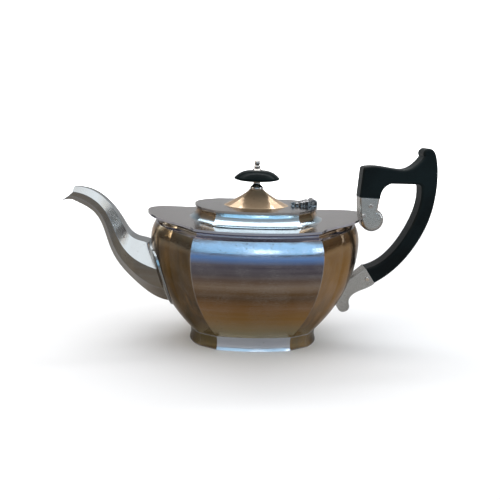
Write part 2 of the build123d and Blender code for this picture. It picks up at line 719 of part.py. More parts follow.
def make_solder_beads(rim):
    """Bead of solder on each side where the rim's tip enters the upper socket."""
    beads = []
    for side in (-1, 1):
        x, z = BEAD_CENTRE
        start = side * SOCKET_HALF_THICKNESS
        bead = rod(BEAD_RADIUS, (x, start, z), (x, start + side * BEAD_HEIGHT, z))
        outside = SOCKET_HALF_THICKNESS + 0.5 * BEAD_HEIGHT
        outer = [e for e in bead.edges() if abs(e.center().Y) > outside]
        beads += (bead.fillet(0.8 * BEAD_HEIGHT, outer) - rim).solids()
    return Compound(children=beads)


def make_lower_socket(body):
    """Silver socket that runs down to a small volute against the body."""
    volute_x, volute_z = VOLUTE_CENTRE
    volute_middle = (volute_x, volute_z + 1.0)
    volute_edge = (volute_x + VOLUTE_RADIUS - 0.2, volute_z + 1.0)
    arm = [
        *side_line(GRIP_LOW_OUTER, GRIP_LOW_INNER),
        side_curve(GRIP_LOW_INNER, (80.0, 53.8), (74.4, 48.4), (71.0, 42.0)),
        *side_line((71.0, 42.0), (62.0, 33.0), volute_middle, volute_edge),
        side_curve(volute_edge, (76.9, 35.5), (84.5, 41.8), GRIP_LOW_OUTER),
    ]
    socket = side_prism(arm, SOCKET_HALF_THICKNESS)
    socket = socket + cross_rod(VOLUTE_RADIUS, volute_x, volute_z, SOCKET_HALF_THICKNESS)
    narrow, wide = SOCKET_LOW_HALF_THICKNESS, SOCKET_HALF_THICKNESS
    side = [(60.0, narrow), (74.0, narrow), (88.0, wide), (99.0, wide)]
    corners = [Vector(x, -y, 0) for x, y in side] + [Vector(x, y, 0) for x, y in reversed(side)]
    taper = Wire.make_polygon(corners, close=True)
    socket = socket & Solid.extrude(Face(taper), Vector(0, 0, FAR))
    socket = socket - body - lower_tenon(TENON_CLEARANCE)
    socket = socket - cross_rod(RIVET_RADIUS, *LOWER_RIVET, 2 * SOCKET_HALF_THICKNESS)
    return max(socket.solids(), key=lambda solid: solid.volume)


def make_rivet(centre, half_thickness):
    """Rivet with a domed head on each side of a socket."""
    x, z = centre
    rivet = cross_rod(RIVET_RADIUS, x, z, half_thickness)
    for side in (-1, 1):
        face_y = side * half_thickness
        head = rod(RIVET_HEAD_RADIUS, (x, face_y, z), (x, face_y + side * RIVET_HEAD_HEIGHT, z))
        outside = half_thickness + 0.5 * RIVET_HEAD_HEIGHT
        outer = [e for e in head.edges() if abs(e.center().Y) > outside]
        rivet = rivet + head.fillet(0.8 * RIVET_HEAD_HEIGHT, outer)
    return rivet


def main():
    os.makedirs("parts", exist_ok=True)
    body = body_form()
    rim = make_rim_flange()
    spout_outer = spout_form()
    upper_socket = make_upper_socket(rim)
    nodes = {
        "body_shell": make_body_shell(),
        "base_plate": make_base_plate(),
        "foot_ring": make_foot_ring(),
        "neck_cove": make_neck_cove(),
        "rim_flange": rim,
        "lid_surround": make_lid_surround(),
        "hinge_bed": make_hinge_bed(),
        "hinge_base": make_hinge_base(),
        "hinge_pin": make_hinge_pin(),
        "hinge_leaf": make_hinge_leaf(),
        "lid_plate": make_lid_plate(),
        "lid_bezel": make_lid_bezel(),
        "lid_dome": make_lid_dome(),
        "finial_stem": make_finial_stem(),
        "finial_cap": make_finial_cap(),
        "finial_bud": make_finial_bud(),
        "finial_stud": make_finial_stud(),
        "finial_washer": make_finial_washer(),
        "finial_nut": make_finial_nut(),
        "spout": make_spout(body),
        "spout_flange": make_spout_flange(body, spout_outer),
        "handle_grip": make_handle_grip(),
        "upper_socket": upper_socket,
        "solder_beads": make_solder_beads(rim),
        "lower_socket": make_lower_socket(body),
        "upper_rivet": make_rivet(UPPER_RIVET, SOCKET_HALF_THICKNESS),
        "lower_rivet": make_rivet(LOWER_RIVET, SOCKET_HALF_THICKNESS),
    }
    for name, shape in nodes.items():
        export_step(shape, f"parts/{name}.step")


main()
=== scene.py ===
"""Panelled silver teapot with a black handle: its finishes, floor, studio light and camera.

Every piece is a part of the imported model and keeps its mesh, so the sub-assembly classes build no
meshes. Each holds the sizes that its finishes need, gives its pieces their finishes and reports
them. Lengths are in metres in the model's own frame: +Z up, spout towards -X, handle towards +X.
"""

import logging
import math
from dataclasses import dataclass
from enum import Enum

import bmesh
import bpy
from mathutils import Matrix, Vector


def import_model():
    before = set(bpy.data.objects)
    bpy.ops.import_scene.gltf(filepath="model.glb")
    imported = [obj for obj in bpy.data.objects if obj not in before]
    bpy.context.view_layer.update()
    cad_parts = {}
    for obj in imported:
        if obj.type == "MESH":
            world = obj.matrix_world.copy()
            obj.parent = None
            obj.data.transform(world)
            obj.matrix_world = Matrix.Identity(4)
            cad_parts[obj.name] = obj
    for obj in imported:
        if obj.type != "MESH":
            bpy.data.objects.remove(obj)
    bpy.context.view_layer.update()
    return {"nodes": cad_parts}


Colour = tuple[float, float, float]
Triple = tuple[float, float, float]
Pair = tuple[float, float]
Stops = tuple[tuple[float, Colour], ...]
Materials = dict[str, bpy.types.Material]
Pieces = dict[str, bpy.types.Object]

WHOLE: Triple = (1.0, 1.0, 1.0)
SIGNED_MATH = ("SUBTRACT", "ABSOLUTE")

LOG = logging.getLogger("teapot")


class Effect(Enum):
    """Shared shader effects, each one a node group."""

    SCRATCHES = "hairline_scratches"
    # Noise streaks, used both for tarnish and for painted reflection streaks.
    STREAKS = "tarnish_and_reflection_streaks"
    SPOTS = "tarnish_spots"
    EDGES = "edge_wear"
    FACING = "panel_facing"
    GRAIN = "fine_grain"


class Graph:
    """Adds and joins the nodes of one node tree."""

    def __init__(self, tree: bpy.types.NodeTree) -> None:
        """Start drawing in a node tree.

        Args:
            tree: The tree that receives the nodes.
        """
        self.tree = tree

    def node(self, kind: str, **inputs: object) -> bpy.types.Node:
        """Add a node and set or link its inputs.

        Args:
            kind: Node type without the ShaderNode prefix.
            inputs: Input values or output sockets by input name, with _ for a space.

        Returns:
            The new node.
        """
        node = self.tree.nodes.new("ShaderNode" + kind)
        for name, value in inputs.items():
            self.feed(node.inputs[name.replace("_", " ")], value)
        return node

    def feed(self, socket: bpy.types.NodeSocket, value: object) -> None:
        """Link an output to a socket, or set the socket's own value.

        Args:
            socket: The input socket.
            value: An output socket, a number or a colour.
        """
        if isinstance(value, bpy.types.NodeSocket):
            self.tree.links.new(value, socket)
        elif socket.type == "RGBA" and len(value) == 3:
            socket.default_value = (*value, 1.0)
        else:
            socket.default_value = value

    def math(self, operation: str, first: object, second: object = 0.0) -> bpy.types.NodeSocket:
        """Add a Math node, kept between 0 and 1 unless it subtracts or drops a sign.

        Args:
            operation: The Math node's operation.
            first: First value or socket.
            second: Second value or socket.

        Returns:
            The node's output.
        """
        node = self.tree.nodes.new("ShaderNodeMath")
        node.operation = operation
        node.use_clamp = operation not in SIGNED_MATH
        self.feed(node.inputs[0], first)
        self.feed(node.inputs[1], second)
        return node.outputs[0]

    def signed(self, operation: str, first: object, second: object) -> bpy.types.NodeSocket:
        """Add a Math node whose result may lie outside 0 to 1.

        Args:
            operation: The Math node's operation.
            first: First value or socket.
            second: Second value or socket.

        Returns:
            The node's output.
        """
        result = self.math(operation, first, second)
        result.node.use_clamp = False
        return result

    def vector_math(self, operation: str, *vectors: bpy.types.NodeSocket) -> bpy.types.Node:
        """Add a Vector Math node.

        Args:
            operation: The node's operation.
            vectors: The vectors that it reads.

        Returns:
            The new node.
        """
        node = self.tree.nodes.new("ShaderNodeVectorMath")
        node.operation = operation
        for socket, vector in zip(node.inputs, vectors):
            self.feed(socket, vector)
        return node

    def between(self, value: object, low: float, high: float) -> bpy.types.NodeSocket:
        """Turn a value into a smooth step.

        Args:
            value: The socket to read.
            low: Where the step starts, at 0.
            high: Where the step ends, at 1. It may be below low.

        Returns:
            A mask from 0 to 1.
        """
        node = self.node("MapRange", Value=value)
        node.interpolation_type = "SMOOTHSTEP"
        flip = high < low
        self.feed(node.inputs["From Min"], high if flip else low)
        self.feed(node.inputs["From Max"], low if flip else high)
        self.feed(node.inputs["To Min"], 1.0 if flip else 0.0)
        self.feed(node.inputs["To Max"], 0.0 if flip else 1.0)
        return node.outputs["Result"]

    def spread(self, value: object, low: object, high: object) -> bpy.types.NodeSocket:
        """Map a mask to the range from low to high.

        Args:
            value: A mask from 0 to 1.
            low: Result at 0.
            high: Result at 1.

        Returns:
            The mapped value.
        """
        node = self.node("MapRange", Value=value)
        self.feed(node.inputs["To Min"], low)
        self.feed(node.inputs["To Max"], high)
        return node.outputs["Result"]

    def ramp(self, value: object, stops: Stops) -> bpy.types.NodeSocket:
        """Map a value to colours between stops.

        Args:
            value: A value from 0 to 1.
            stops: Positions and colours in rising order.

        Returns:
            The colour.
        """
        node = self.node("ValToRGB", Fac=value)
        bar = node.color_ramp
        while len(bar.elements) < len(stops):
            bar.elements.new(1.0)
        for element, (position, colour) in zip(bar.elements, stops):
            element.position = position
            element.color = (*colour, 1.0)
        return node.outputs["Color"]

    def blend(self, factor: object, first: object, second: object) -> bpy.types.NodeSocket:
        """Mix two colours.

        Args:
            factor: 0 gives first and 1 gives second.
            first: Colour or socket.
            second: Colour or socket.

        Returns:
            The mixed colour.
        """
        node = self.tree.nodes.new("ShaderNodeMix")
        node.data_type = "RGBA"
        self.feed(node.inputs[0], factor)
        self.feed(node.inputs[6], first)
        self.feed(node.inputs[7], second)
        return node.outputs[2]

    def noise(self, vector: object, scale: float, detail: float = 2.0) -> bpy.types.NodeSocket:
        """Add a noise texture.

        Args:
            vector: Coordinates to read.
            scale: Cycles per unit of the coordinates.
            detail: Octaves.

        Returns:
            The noise value.
        """
        return self.node("TexNoise", Vector=vector, Scale=scale, Detail=detail).outputs["Fac"]

    def place(self, scale: Triple = WHOLE, turn: Triple = (0.0, 0.0, 0.0)) -> bpy.types.NodeSocket:
        """Give the model's coordinates, turned and scaled.

        Args:
            scale: Scale along each axis.
            turn: Rotation about each axis in degrees.

        Returns:
            The mapped coordinates.
        """
        where = self.node("TexCoord").outputs["Object"]
        node = self.node("Mapping", Vector=where, Scale=scale)
        node.inputs["Rotation"].default_value = [math.radians(angle) for angle in turn]
        return node.outputs["Vector"]

    def effect(self, effect: Effect, **inputs: object) -> bpy.types.Node:
        """Place a shared effect.

        Args:
            effect: Which one.
            inputs: Its input values by name.

        Returns:
            The group node, whose outputs are read by name.
        """
        node = self.tree.nodes.new("ShaderNodeGroup")
        node.node_tree = bpy.data.node_groups[effect.value]
        for name, value in inputs.items():
            self.feed(node.inputs[name.replace("_", " ")], value)
        return node


@dataclass(frozen=True)
class EffectLibrary:
    """The shader node groups that the finishes share."""

    scratch_angles: tuple[float, ...] = (8.0, 47.0, -32.0, 82.0)
    scratch_stretch: float = 26.0
    scratch_patches: Pair = (0.44, 0.62)
    level_stretch: Triple = (7.0, 7.0, 210.0)
    upright_stretch: Triple = (190.0, 190.0, 5.0)
    cloud_scale: float = 22.0
    speck_scale: float = 260.0
    speck_edge: Pair = (0.26, 0.10)
    speck_patches: Pair = (0.52, 0.66)
    bevel_radius: float = 0.0015
    bevel_samples: int = 6
    crease: Pair = (0.995, 0.93)
    rub: Pair = (0.55, 1.1)
    facing_up: Pair = (0.45, 0.85)
    facing_down: Pair = (0.15, 0.03)
    facing_corner: Pair = (0.24, 0.36)
    facing_end: Pair = (0.72, 0.93)
    facing_inner: Pair = (-0.002, -0.012)
    grain_stretch: Triple = (1.0, 1.0, 0.16)

    def open_group(
        self, effect: Effect, inputs: dict[str, float], outputs: tuple[str, ...]
    ) -> tuple[Graph, bpy.types.Node, bpy.types.Node]:
        """Start a group with named float sockets.

        Args:
            effect: The effect that the group makes.
            inputs: Input names and default values.
            outputs: Output names.

        Returns:
            The graph to draw in, its input node and its output node.
        """
        tree = bpy.data.node_groups.new(effect.value, "ShaderNodeTree")
        for name, default in inputs.items():
            socket = tree.interface.new_socket(name, in_out="INPUT", socket_type="NodeSocketFloat")
            socket.default_value = default
        for name in outputs:
            tree.interface.new_socket(name, in_out="OUTPUT", socket_type="NodeSocketFloat")
        return Graph(tree), tree.nodes.new("NodeGroupInput"), tree.nodes.new("NodeGroupOutput")

    def build(self) -> None:
        """Build every shared effect once."""
        self.build_scratches()
        self.build_streaks()
        self.build_spots()
        self.build_edges()
        self.build_facing()
        self.build_grain()

    def build_scratches(self) -> None:
        """Crossing sets of thin, long scratches, denser where a patch noise is high."""
        graph, given, result = self.open_group(
            Effect.SCRATCHES, {"Scale": 160.0, "Width": 0.02}, ("Mask",)
        )
        total: object = 0.0
        for index, angle in enumerate(self.scratch_angles):
            stretch = (1.0, self.scratch_stretch, self.scratch_stretch)
            where = graph.place(stretch, (23.0 * index, angle, angle * 0.7))
            texture = graph.node("TexNoise", Vector=where, Scale=given.outputs["Scale"], Detail=1.0)
            middle = graph.math("ABSOLUTE", graph.math("SUBTRACT", texture.outputs["Fac"], 0.5))
            line = graph.math("SUBTRACT", 1.0, graph.math("DIVIDE", middle, given.outputs["Width"]))
            cloud = graph.noise(graph.place(), 38.0 + 9 * index)
            patch = graph.between(cloud, *self.scratch_patches)
            total = graph.math("MAXIMUM", total, graph.math("MULTIPLY", line, patch))
        graph.feed(result.inputs["Mask"], total)

    def build_streaks(self) -> None:
        """Long soft streaks, level with the foot or upright, used for tarnish and for painted reflection
        streaks.
        """
        graph, given, result = self.open_group(
            Effect.STREAKS, {"Contrast": 0.18}, ("Level", "Upright", "Cloud")
        )
        low = graph.math("SUBTRACT", 0.5, given.outputs["Contrast"])
        high = graph.math("ADD", 0.5, given.outputs["Contrast"])
        layouts = {
            "Level": (self.level_stretch, 1.0),
            "Upright": (self.upright_stretch, 1.0),
            "Cloud": (WHOLE, self.cloud_scale),
        }
        for name, (stretch, scale) in layouts.items():
            value = graph.noise(graph.place(stretch), scale, 4.0)
            node = graph.node("MapRange", Value=value)
            graph.feed(node.inputs["From Min"], low)
            graph.feed(node.inputs["From Max"], high)
            graph.feed(result.inputs[name], node.outputs["Result"])

    def build_spots(self) -> None:
        """Small, dark specks of tarnish gathered in patches."""
        graph, given, result = self.open_group(Effect.SPOTS, {"Amount": 0.5}, ("Mask",))
        where = graph.place((1.0, 1.0, 1.4))
        cells = graph.node("TexVoronoi", Vector=where, Scale=self.speck_scale)
        speck = graph.between(cells.outputs["Distance"], *self.speck_edge)
        patch = graph.between(graph.noise(graph.place(), 46.0, 3.0), *self.speck_patches)
        mask = graph.math("MULTIPLY", speck, patch)
        graph.feed(result.inputs["Mask"], graph.math("MULTIPLY", mask, given.outputs["Amount"]))

    def build_edges(self) -> None:
        """Polished creases and rims, broken up by a fine noise."""
        graph, given, result = self.open_group(Effect.EDGES, {"Amount": 1.0}, ("Mask",))
        bevel = graph.tree.nodes.new("ShaderNodeBevel")
        bevel.samples = self.bevel_samples
        bevel.inputs["Radius"].default_value = self.bevel_radius
        normal = graph.node("NewGeometry").outputs["Normal"]
        dot = graph.vector_math("DOT_PRODUCT", bevel.outputs["Normal"], normal)
        crease = graph.between(dot.outputs["Value"], *self.crease)
        rub = graph.spread(graph.noise(graph.place(), 240.0, 3.0), *self.rub)
        mask = graph.math("MULTIPLY", crease, rub)
        graph.feed(result.inputs["Mask"], graph.math("MULTIPLY", mask, given.outputs["Amount"]))

    def build_facing(self) -> None:
        """Masks of the way a surface faces, with its height and its place from spout to handle.

        Up, Down, Corner (canted) and End go by the normal. Inner marks faces that look to the axis.
        """
        graph, given, result = self.open_group(
            Effect.FACING, {"Turn": 0.0},
            ("Up", "Down", "Corner", "End", "Height", "Across", "Inner"),
        )
        coordinates = graph.node("TexCoord")
        normal = graph.node("SeparateXYZ", Vector=coordinates.outputs["Normal"])
        place = graph.node("SeparateXYZ", Vector=coordinates.outputs["Object"])
        tilt = graph.signed("ADD", normal.outputs["Z"], given.outputs["Turn"])
        sideways = graph.math("ABSOLUTE", normal.outputs["X"])
        forward = graph.math("ABSOLUTE", normal.outputs["Y"])
        canted = graph.math("MULTIPLY", sideways, forward)
        along = graph.signed("MULTIPLY", normal.outputs["X"], place.outputs["X"])
        across = graph.signed("MULTIPLY", normal.outputs["Y"], place.outputs["Y"])
        outward = graph.signed("ADD", along, across)
        values = {
            "Up": graph.between(tilt, *self.facing_up),
            "Down": graph.between(tilt, *self.facing_down),
            "Corner": graph.between(canted, *self.facing_corner),
            "End": graph.between(sideways, *self.facing_end),
            "Height": place.outputs["Z"],
            "Across": place.outputs["X"],
            "Inner": graph.between(outward, *self.facing_inner),
        }
        for name, value in values.items():
            graph.feed(result.inputs[name], value)

    def build_grain(self) -> None:
        """Fine grain along a turned or sawn piece, as a height."""
        graph, given, result = self.open_group(Effect.GRAIN, {"Scale": 900.0}, ("Height",))
        where = graph.place(self.grain_stretch, (0.0, 24.0, 0.0))
        texture = graph.node("TexNoise", Vector=where, Scale=given.outputs["Scale"], Detail=5.0)
        graph.feed(result.inputs["Height"], texture.outputs["Fac"])


@dataclass(frozen=True)
class Finish:
    """Base of a finish: a name and how the shader's uniform sockets are set."""

    name: str
    metallic: float = 1.0
    coat: float = 0.0
    coat_roughness: float = 0.05
    specular: float = 0.5
    ior: float = 1.5

    def shader(self) -> tuple[bpy.types.Material, Graph, bpy.types.Node]:
        """Make an empty material with one principled shader.

        Returns:
            The material, its graph and the shader node.
        """
        material = bpy.data.materials.new(self.name)
        material.use_nodes = True
        material.node_tree.nodes.clear()
        graph = Graph(material.node_tree)
        shader = graph.node("BsdfPrincipled", Metallic=self.metallic)
        shader.inputs["Coat Weight"].default_value = self.coat
        shader.inputs["Coat Roughness"].default_value = self.coat_roughness
        shader.inputs["Specular IOR Level"].default_value = self.specular
        shader.inputs["IOR"].default_value = self.ior
        output = material.node_tree.nodes.new("ShaderNodeOutputMaterial")
        graph.feed(output.inputs["Surface"], shader.outputs["BSDF"])
        return material, graph, shader

    def relief(self, graph: Graph, shader: bpy.types.Node, height: object, depth: float) -> None:
        """Feed a height to the shader's normal.

        Args:
            graph: The material's graph.
            shader: The principled shader.
            height: Height from 0 to 1.
            depth: Depth in metres of the full height.
        """
        bump = graph.node("Bump", Height=height)
        bump.inputs["Distance"].default_value = depth
        graph.feed(shader.inputs["Normal"], bump.outputs["Normal"])


@dataclass(frozen=True)
class SilverFinish(Finish):
    """Worn silver plate: bright above, with warm room reflections painted where it faces down or sideways
    and painted reflections on the canted corners.
    """

    # Bright and flat silver, also swapped by facing as a painted reflection.
    bright: Colour = (0.72, 0.70, 0.68)
    flat: Colour = (0.50, 0.47, 0.44)
    warm_deep: Colour = (0.13, 0.080, 0.034)
    # Painted room reflection by height on faces that look sideways or down: gold and brown low down, dark
    # and grey-violet higher up, and a blue window band at the top.
    below: Stops = (
        (0.11, (0.80, 0.66, 0.38)),
        (0.23, (0.58, 0.32, 0.085)),
        (0.34, (0.38, 0.18, 0.045)),
        (0.41, (0.15, 0.074, 0.021)),
        (0.48, (0.27, 0.165, 0.085)),
        (0.56, (0.12, 0.10, 0.11)),
        (0.62, (0.068, 0.055, 0.095)),
        (0.66, (0.14, 0.36, 0.85)),
    )
    # Painted reflections on the canted corners, by height.
    sides: Stops = (
        (0.10, (0.17, 0.105, 0.015)),
        (0.40, (0.095, 0.046, 0.003)),
        (0.58, (0.080, 0.043, 0.005)),
        (0.66, (0.020, 0.018, 0.010)),
        (0.75, (0.42, 0.37, 0.26)),
    )
    # Painted reflections on the end faces, by height.
    tips: Stops = (
        (0.30, (0.12, 0.070, 0.015)),
        (0.62, (0.14, 0.090, 0.035)),
        (0.71, (0.85, 0.48, 0.19)),
    )
    side_light: Colour = (0.56, 0.28, 0.065)
    # Painted blue window reflection, laid on the fronts.
    cool: Colour = (0.50, 0.68, 0.95)
    # Weights of the painted room, corner and window reflections.
    warm_share: float = 1.0
    corner_share: float = 1.0
    cool_share: float = 0.0
    tilt: float = 0.0
    lining: Colour | None = None
    top: float = 0.120
    roughness: Pair = (0.07, 0.17)
    spots: float = 0.4
    edge: float = 0.8
    scratch: float = 0.35
    cloud_share: float = 0.35
    streak_share: float = 0.30
    line_share: float = 0.6
    # Painted light: the handle side takes more of the side light.
    far_side: Pair = (0.0, 0.06)
    far_side_share: float = 0.5
    depth: float = 0.00006

    def build(self) -> bpy.types.Material:
        """Build the material.

        Returns:
            The new material.
        """
        material, graph, shader = self.shader()
        facing = graph.effect(Effect.FACING, Turn=self.tilt).outputs
        streaks = graph.effect(Effect.STREAKS, Contrast=0.16).outputs
        spots = graph.effect(Effect.SPOTS, Amount=self.spots).outputs["Mask"]
        edges = graph.effect(Effect.EDGES, Amount=self.edge).outputs["Mask"]
        scratches = graph.effect(Effect.SCRATCHES, Scale=150.0, Width=0.022).outputs["Mask"]

        # Painted reflection: faces that look up take the flat colour and the others the bright one.
        colour = graph.blend(facing["Up"], self.bright, self.flat)
        colour = graph.blend(graph.math("MULTIPLY", streaks["Cloud"], self.cloud_share), colour, self.flat)
        # Painted window reflection: faces that are not canted blend towards the cool blue.
        if self.cool_share:
            front = graph.math("SUBTRACT", 1.0, facing["Corner"])
            cool = graph.math("MULTIPLY", front, self.cool_share)
            colour = graph.blend(cool, colour, self.cool)
        # Painted room, corner and end reflections.
        colour = self.painted_reflections(graph, colour, facing, streaks)
        if self.lining:
            colour = graph.blend(facing["Inner"], colour, self.lining)
        colour = graph.blend(spots, colour, self.warm_deep)
        colour = graph.blend(graph.math("MULTIPLY", scratches, self.scratch), colour, self.bright)
        colour = graph.blend(edges, colour, self.bright)
        graph.feed(shader.inputs["Base Color"], colour)

        wear = graph.math("ADD", graph.math("MULTIPLY", scratches, 0.6), spots)
        patchy = graph.math("ADD", graph.math("MULTIPLY", streaks["Cloud"], 0.45), wear)
        graph.feed(shader.inputs["Roughness"], graph.spread(patchy, *self.roughness))
        self.relief(graph, shader, self.surface_height(graph, scratches), self.depth)
        return material

    def painted_reflections(
        self,
        graph: Graph,
        colour: bpy.types.NodeSocket,
        facing: bpy.types.NodeOutputs,
        streaks: bpy.types.NodeOutputs,
    ) -> bpy.types.NodeSocket:
        """Paint reflections into the plate: warm room reflections below and dark reflections on the canted
        corners.

        Args:
            graph: The material's graph.
            colour: Colour so far.
            facing: Outputs of the facing effect.
            streaks: Outputs of the streak effect.

        Returns:
            The colour with painted reflections.
        """
        # Painted room reflection: a colour by height, streaked towards the bright colour, laid where the
        # plate faces sideways or down.
        height = graph.math("DIVIDE", facing["Height"], self.top)
        painted_room_reflection = graph.ramp(height, self.below)
        streaked = graph.math("MULTIPLY", streaks["Level"], self.streak_share)
        below = graph.blend(streaked, painted_room_reflection, graph.blend(0.5, painted_room_reflection, self.bright))
        share = graph.math("MULTIPLY", facing["Down"], self.warm_share)
        colour = graph.blend(share, colour, below)
        # Painted reflections and light: upright reflection streaks and more side light on the handle side
        # for the canted corners, and streaked reflections for the end faces.
        far = graph.between(facing["Across"], *self.far_side)
        lines = graph.math("MULTIPLY", streaks["Upright"], streaks["Cloud"])
        lines = graph.math("MULTIPLY", lines, self.line_share)
        lines = graph.math("ADD", lines, graph.math("MULTIPLY", far, self.far_side_share))
        side = graph.blend(lines, graph.ramp(height, self.sides), self.side_light)
        tip = graph.blend(streaks["Upright"], graph.ramp(height, self.tips), self.warm_deep)
        side = graph.blend(facing["End"], side, tip)
        ends = graph.math("MAXIMUM", facing["Corner"], facing["End"])
        return graph.blend(graph.math("MULTIPLY", ends, self.corner_share), colour, side)

    def surface_height(self, graph: Graph, scratches: object) -> bpy.types.NodeSocket:
        """Height of the plate: gentle unevenness with the scratches cut in.

        Args:
            graph: The material's graph.
            scratches: Scratch mask.

        Returns:
            The height.
        """
        waves = graph.noise(graph.place(), 55.0, 2.0)
        fine = graph.noise(graph.place(), 900.0, 2.0)
        waves = graph.math("MULTIPLY", waves, 0.6)
        body = graph.math("ADD", waves, graph.math("MULTIPLY", fine, 0.08))
        return graph.math("SUBTRACT", body, graph.math("MULTIPLY", scratches, 0.12))


@dataclass(frozen=True)
class OxidisedFinish(Finish):
    """Cast silver, dark in its hollows, worn bright on its ridges and painted lighter where it faces up as
    a painted highlight.
    """

    dark: Colour = (0.045, 0.043, 0.042)
    worn_and_lit: Colour = (0.62, 0.62, 0.63)

    def build(self) -> bpy.types.Material:
        """Build the material.

        Returns:
            The new material.
        """
        material, graph, shader = self.shader()
        edges = graph.effect(Effect.EDGES, Amount=0.9).outputs["Mask"]
        streaks = graph.effect(Effect.STREAKS, Contrast=0.1).outputs
        facing = graph.effect(Effect.FACING).outputs
        # Painted highlight: faces that look up are made lighter, broken up by a cloud noise, and joined
        # with the worn edges.
        lit = graph.math("MULTIPLY", facing["Up"], streaks["Cloud"])
        worn_and_lit = graph.math("MAXIMUM", edges, graph.math("MULTIPLY", lit, 0.75))
        graph.feed(shader.inputs["Base Color"], graph.blend(worn_and_lit, self.dark, self.worn_and_lit))
        graph.feed(shader.inputs["Roughness"], graph.spread(worn_and_lit, 0.42, 0.2))
        grain = graph.effect(Effect.GRAIN, Scale=700.0).outputs["Height"]
        self.relief(graph, shader, grain, 0.0003)
        return material


@dataclass(frozen=True)
class BlackFinish(Finish):
    """Black handle or cap: a faint grain under polish, greyed where hands rub it."""

    colour: Colour = (0.0025, 0.0045, 0.005)
    worn: Colour = (0.012, 0.025, 0.028)
    roughness: Pair = (0.34, 0.50)
    depth: float = 0.00008

    def build(self) -> bpy.types.Material:
        """Build the material.

        Returns:
            The new material.
        """
        material, graph, shader = self.shader()
        streaks = graph.effect(Effect.STREAKS, Contrast=0.15).outputs
        scratches = graph.effect(Effect.SCRATCHES, Scale=120.0, Width=0.018).outputs["Mask"]
        edges = graph.effect(Effect.EDGES, Amount=0.7).outputs["Mask"]
        worn = graph.math("ADD", graph.math("MULTIPLY", streaks["Cloud"], 0.4), edges)
        worn = graph.math("ADD", worn, graph.math("MULTIPLY", scratches, 0.35))
        graph.feed(shader.inputs["Base Color"], graph.blend(worn, self.colour, self.worn))
        graph.feed(shader.inputs["Roughness"], graph.spread(worn, *self.roughness))
        grain = graph.effect(Effect.GRAIN, Scale=650.0).outputs["Height"]
        self.relief(graph, shader, grain, self.depth)
        return material


@dataclass(frozen=True)
class SteelFinish(Finish):
    """Plain turned steel of the hidden fixings."""

    colour: Colour = (0.42, 0.42, 0.43)
    dull: Colour = (0.20, 0.18, 0.16)

    def build(self) -> bpy.types.Material:
        """Build the material.

        Returns:
            The new material.
        """
        material, graph, shader = self.shader()
        grain = graph.effect(Effect.GRAIN, Scale=1200.0).outputs["Height"]
        cloud = graph.effect(Effect.STREAKS, Contrast=0.12).outputs["Cloud"]
        graph.feed(shader.inputs["Base Color"], graph.blend(cloud, self.colour, self.dull))
        graph.feed(shader.inputs["Roughness"], graph.spread(grain, 0.25, 0.5))
        self.relief(graph, shader, grain, 0.0001)
        return material


@dataclass(frozen=True)
class FloorFinish(Finish):
    """Pale matt floor with a barely visible mottle, which throws back less light than it shows."""

    pale: Colour = (0.93, 0.93, 0.93)
    shade: Colour = (0.90, 0.90, 0.90)
    thrown: Colour = (0.37, 0.365, 0.36)
    fade: Pair = (0.45, 1.2)

    def build(self) -> bpy.types.Material:
        """Build the material.

        Returns:
            The new material.
        """
        material, graph, shader = self.shader()
        mottle = graph.noise(graph.place(), 5.0, 3.0)
        seen = graph.node("LightPath").outputs["Is Camera Ray"]
        surface = graph.blend(mottle, self.pale, self.shade)
        graph.feed(shader.inputs["Base Color"], graph.blend(seen, self.thrown, surface))
        graph.feed(shader.inputs["Roughness"], graph.spread(mottle, 0.65, 0.75))
        reach = graph.vector_math("LENGTH", graph.node("TexCoord").outputs["Object"])
        far = graph.between(reach.outputs["Value"], *self.fade)
        graph.feed(shader.inputs["Emission Strength"], graph.math("MULTIPLY", far, seen))
        return material


# Shared silver finishes. Each paints a reflection by facing, and inside and turned silver also paint the
# warm room reflection by height where they face sideways or down.
LID_SILVER = SilverFinish(
    "lid_silver", bright=(0.50, 0.47, 0.45), flat=(0.32, 0.30, 0.29), corner_share=0.0, warm_share=0.0
)
INSIDE_SILVER = SilverFinish("inside_silver", corner_share=0.0, warm_share=0.4, roughness=(0.3, 0.5))
TURNED_SILVER = SilverFinish(
    "turned_silver", corner_share=0.0, warm_share=0.5, roughness=(0.08, 0.2), top=0.25
)
HINGE_CASTING = OxidisedFinish("hinge_casting")
FIXING_STEEL = SteelFinish("fixing_steel")
PALE_FLOOR = FloorFinish("pale_floor", metallic=0.0)


@dataclass
class SubAssembly:
    """Base of a sub-assembly: it gives its pieces their finishes and reports them."""

    title: str = "pieces"

    def finishes(self) -> dict[str, Finish]:
        """Name the finish of each piece, none in the base.

        Returns:
            Finishes by piece.
        """
        return {}

    def dress(self, pieces: Pieces, made: Materials) -> None:
        """Give each piece its material and report it.

        Args:
            pieces: The model's pieces by name.
            made: Materials built so far, by finish name. New ones are added.
        """
        for piece, finish in self.finishes().items():
            if finish.name not in made:
                made[finish.name] = finish.build()
            mesh = pieces[piece].data
            mesh.materials.clear()
            mesh.materials.append(made[finish.name])
            LOG.info("%s: %s in %s", self.title, piece, finish.name)


